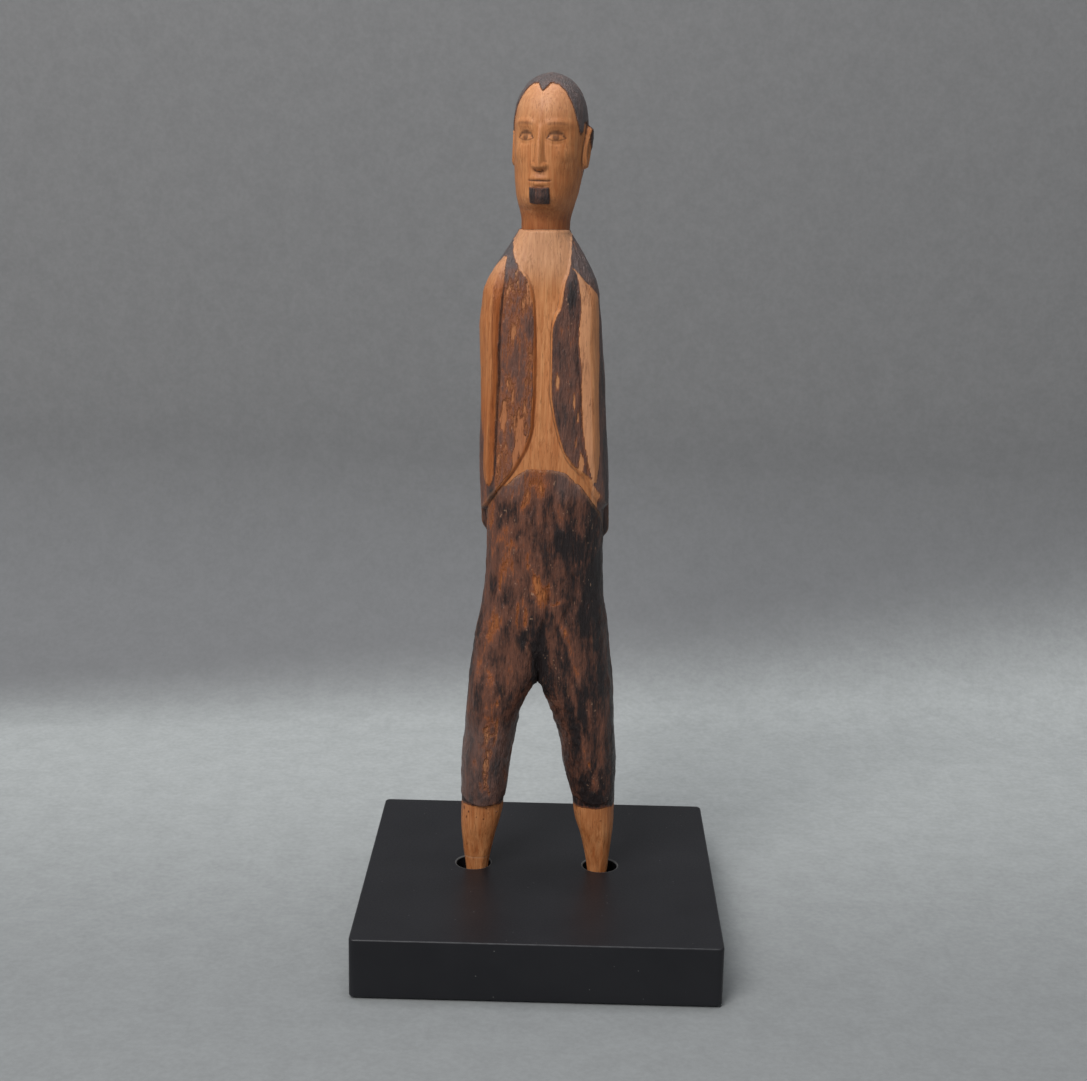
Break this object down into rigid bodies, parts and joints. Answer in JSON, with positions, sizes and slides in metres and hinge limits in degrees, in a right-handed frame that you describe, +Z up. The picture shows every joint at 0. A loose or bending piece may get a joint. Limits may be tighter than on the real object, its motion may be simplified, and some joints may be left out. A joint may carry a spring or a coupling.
{
  "type": "carved ancestor figure",
  "caption": "Standing carved wooden man in an open coat and trousers, his peg legs set in the sockets of a square black display block; the figure lifts off hidden pins.",
  "frame": {"origin": "centre of the felt's underside, where the block stands", "axes": "+Z up along the figure, -Y the way the figure's chest faces, +X to the viewer's right"},
  "size_m": [0.15, 0.15, 0.362],
  "materials": {
    "carved_wood": "waxed, partly burnt dark",
    "black_paint": "satin black paint on wood",
    "black_felt": "short felt",
    "pin_steel": "plain drawn steel"
  },
  "bodies": {
    "stand": {"base_block": "black_paint", "base_felt": "black_felt", "pin_left": "pin_steel", "pin_right": "pin_steel"},
    "figure": {"figure": "carved_wood"}
  },
  "joints": [
    {"name": "figure_lift", "type": "slide", "parent": "stand", "child": "figure", "axis": [0, 0, 1], "range_m": [0, 0.03]}
  ]
}
